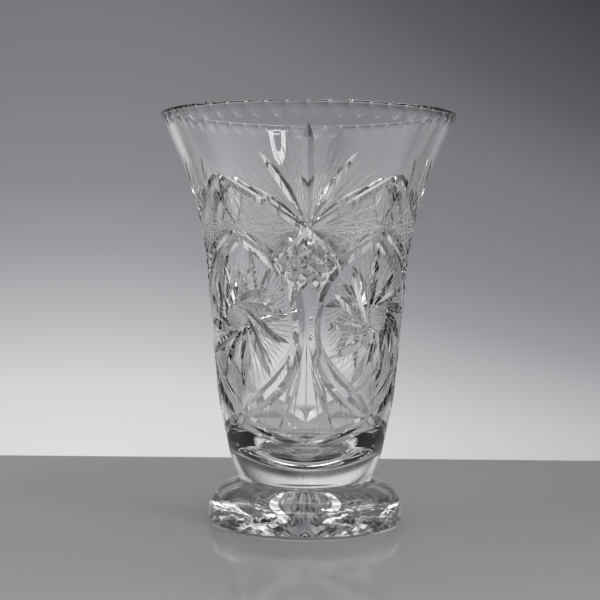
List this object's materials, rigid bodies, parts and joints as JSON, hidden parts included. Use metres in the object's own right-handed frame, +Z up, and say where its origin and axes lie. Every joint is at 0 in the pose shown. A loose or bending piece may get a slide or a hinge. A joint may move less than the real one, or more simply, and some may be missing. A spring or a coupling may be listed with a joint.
{
  "type": "cut crystal vase",
  "caption": "Flared trumpet bowl of clear crystal with a scalloped mouth, bonded to a thick round foot with a star-cut underside; open at the top, stands on a flat ring.",
  "frame": {"origin": "centre of the foot's underside, in the plane of the ring it rests on", "axes": "+Z up along the vase's axis, towards the mouth; +X and +Y run through the tips of two of the upper fans of cuts"},
  "size_m": [0.189, 0.189, 0.26],
  "materials": {
    "bowl_crystal": "hand-polished lead crystal, cut and acid-polished",
    "foot_crystal": "polished lead crystal, star cut underneath, lightly worn where it rests",
    "adhesive": "clear cured film"
  },
  "bodies": {
    "root": {"foot": "foot_crystal", "bond_film": "adhesive", "bowl": "bowl_crystal"}
  },
  "joints": []
}
